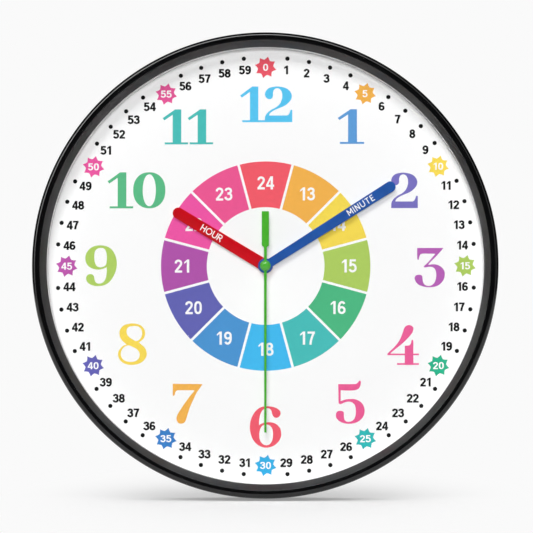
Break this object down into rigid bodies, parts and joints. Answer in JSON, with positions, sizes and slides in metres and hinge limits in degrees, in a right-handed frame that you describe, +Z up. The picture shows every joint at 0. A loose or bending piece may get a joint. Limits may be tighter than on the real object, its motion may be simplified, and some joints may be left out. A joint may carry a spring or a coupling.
{
  "type": "teaching wall clock",
  "caption": "Round wall clock with a moulded rim, clear lens, teaching dial, coloured hour, minute and second hands and a quartz movement, hung from a keyhole at the back.",
  "frame": {"origin": "the point of the wall where the nail goes in: the wall plane, straight behind the top end of the key slot; the hand axis is 120.5 mm below it", "axes": "+Z up, +Y into the wall, so the dial faces -Y and +X is to the right of someone reading the clock"},
  "size_m": [0.3, 0.04, 0.3],
  "materials": {
    "frame_plastic": "moulded, glossy crest and satin slope",
    "lens_glass": "clear flat lens",
    "dial_print": "matt white sheet with coloured print",
    "back_plastic": "moulded, lightly textured",
    "screw_steel": "bright zinc plated",
    "case_plastic": "moulded, dark grey",
    "hour_hand_paint": "satin red paint",
    "minute_hand_paint": "satin blue paint",
    "second_hand_plastic": "glossy green",
    "magnet": "sintered magnet",
    "wheel_nylon": "moulded acetal, off-white",
    "knob_plastic": "moulded, light grey",
    "motor_iron": "punched soft iron sheet",
    "copper_wire": "enamelled copper wire",
    "board_laminate": "phenolic board",
    "chip_epoxy": "black epoxy blob",
    "contact_steel": "nickel plated spring steel",
    "battery_jacket": "printed jacket, plain"
  },
  "bodies": {
    "root": {"frame": "frame_plastic", "lens": "lens_glass", "dial": "dial_print", "back_plate": "back_plastic", "back_screw_1": "screw_steel", "back_screw_2": "screw_steel", "back_screw_3": "screw_steel", "back_screw_4": "screw_steel", "back_screw_5": "screw_steel", "back_screw_6": "screw_steel", "movement_front_case": "case_plastic", "movement_rear_cover": "case_plastic", "stator": "motor_iron", "coil_core": "motor_iron", "coil_bobbin": "wheel_nylon", "coil_winding": "copper_wire", "circuit_board": "board_laminate", "quartz_crystal": "screw_steel", "circuit_chip": "chip_epoxy", "positive_contact": "contact_steel", "negative_contact": "contact_steel", "battery": "battery_jacket"},
    "seconds_assembly": {"second_hand": "second_hand_plastic", "seconds_wheel": "wheel_nylon"},
    "minutes_assembly": {"minute_hand": "minute_hand_paint", "cannon_pinion": "wheel_nylon"},
    "hours_assembly": {"hour_hand": "hour_hand_paint", "hour_wheel": "wheel_nylon"},
    "setting_assembly": {"set_knob": "knob_plastic", "motion_wheel": "wheel_nylon"},
    "minute_wheel_body": {"minute_wheel": "wheel_nylon"},
    "third_wheel_body": {"third_wheel": "wheel_nylon"},
    "intermediate_wheel_body": {"intermediate_wheel": "wheel_nylon"},
    "rotor_body": {"rotor": "magnet"}
  },
  "joints": [
    {"name": "second_hand_turn", "type": "hinge", "parent": "root", "child": "seconds_assembly", "pos_m": [0, -0.009, -0.1205], "axis": [0, 1, 0], "continuous": true},
    {"name": "minute_hand_turn", "type": "hinge", "parent": "root", "child": "minutes_assembly", "pos_m": [0, -0.0132, -0.1205], "axis": [0, 1, 0], "continuous": true},
    {"name": "hour_hand_turn", "type": "hinge", "parent": "root", "child": "hours_assembly", "pos_m": [0, -0.0146, -0.1205], "axis": [0, 1, 0], "continuous": true},
    {"name": "set_knob_turn", "type": "hinge", "parent": "root", "child": "setting_assembly", "pos_m": [0.00097, -0.0132, -0.10941], "axis": [0, 1, 0], "continuous": true},
    {"name": "minute_wheel_turn", "type": "hinge", "parent": "root", "child": "minute_wheel_body", "pos_m": [0, -0.0118, -0.1205], "axis": [0, 1, 0], "continuous": true},
    {"name": "third_wheel_turn", "type": "hinge", "parent": "root", "child": "third_wheel_body", "pos_m": [0.01006, -0.0104, -0.11684], "axis": [0, 1, 0], "continuous": true},
    {"name": "intermediate_wheel_turn", "type": "hinge", "parent": "root", "child": "intermediate_wheel_body", "pos_m": [-0.00921, -0.0076, -0.11518], "axis": [0, 1, 0], "continuous": true},
    {"name": "rotor_turn", "type": "hinge", "parent": "root", "child": "rotor_body", "pos_m": [-0.01293, -0.0104, -0.10987], "axis": [0, 1, 0], "continuous": true}
  ],
  "couplings": [
    {"joint": "hour_hand_turn", "follows": "minute_hand_turn", "ratio": 0.083333},
    {"joint": "set_knob_turn", "follows": "minute_hand_turn", "ratio": -0.33333},
    {"joint": "third_wheel_turn", "follows": "second_hand_turn", "ratio": -0.13333},
    {"joint": "minute_wheel_turn", "follows": "second_hand_turn", "ratio": 0.016667},
    {"joint": "intermediate_wheel_turn", "follows": "second_hand_turn", "ratio": -6},
    {"joint": "rotor_turn", "follows": "second_hand_turn", "ratio": 30}
  ]
}
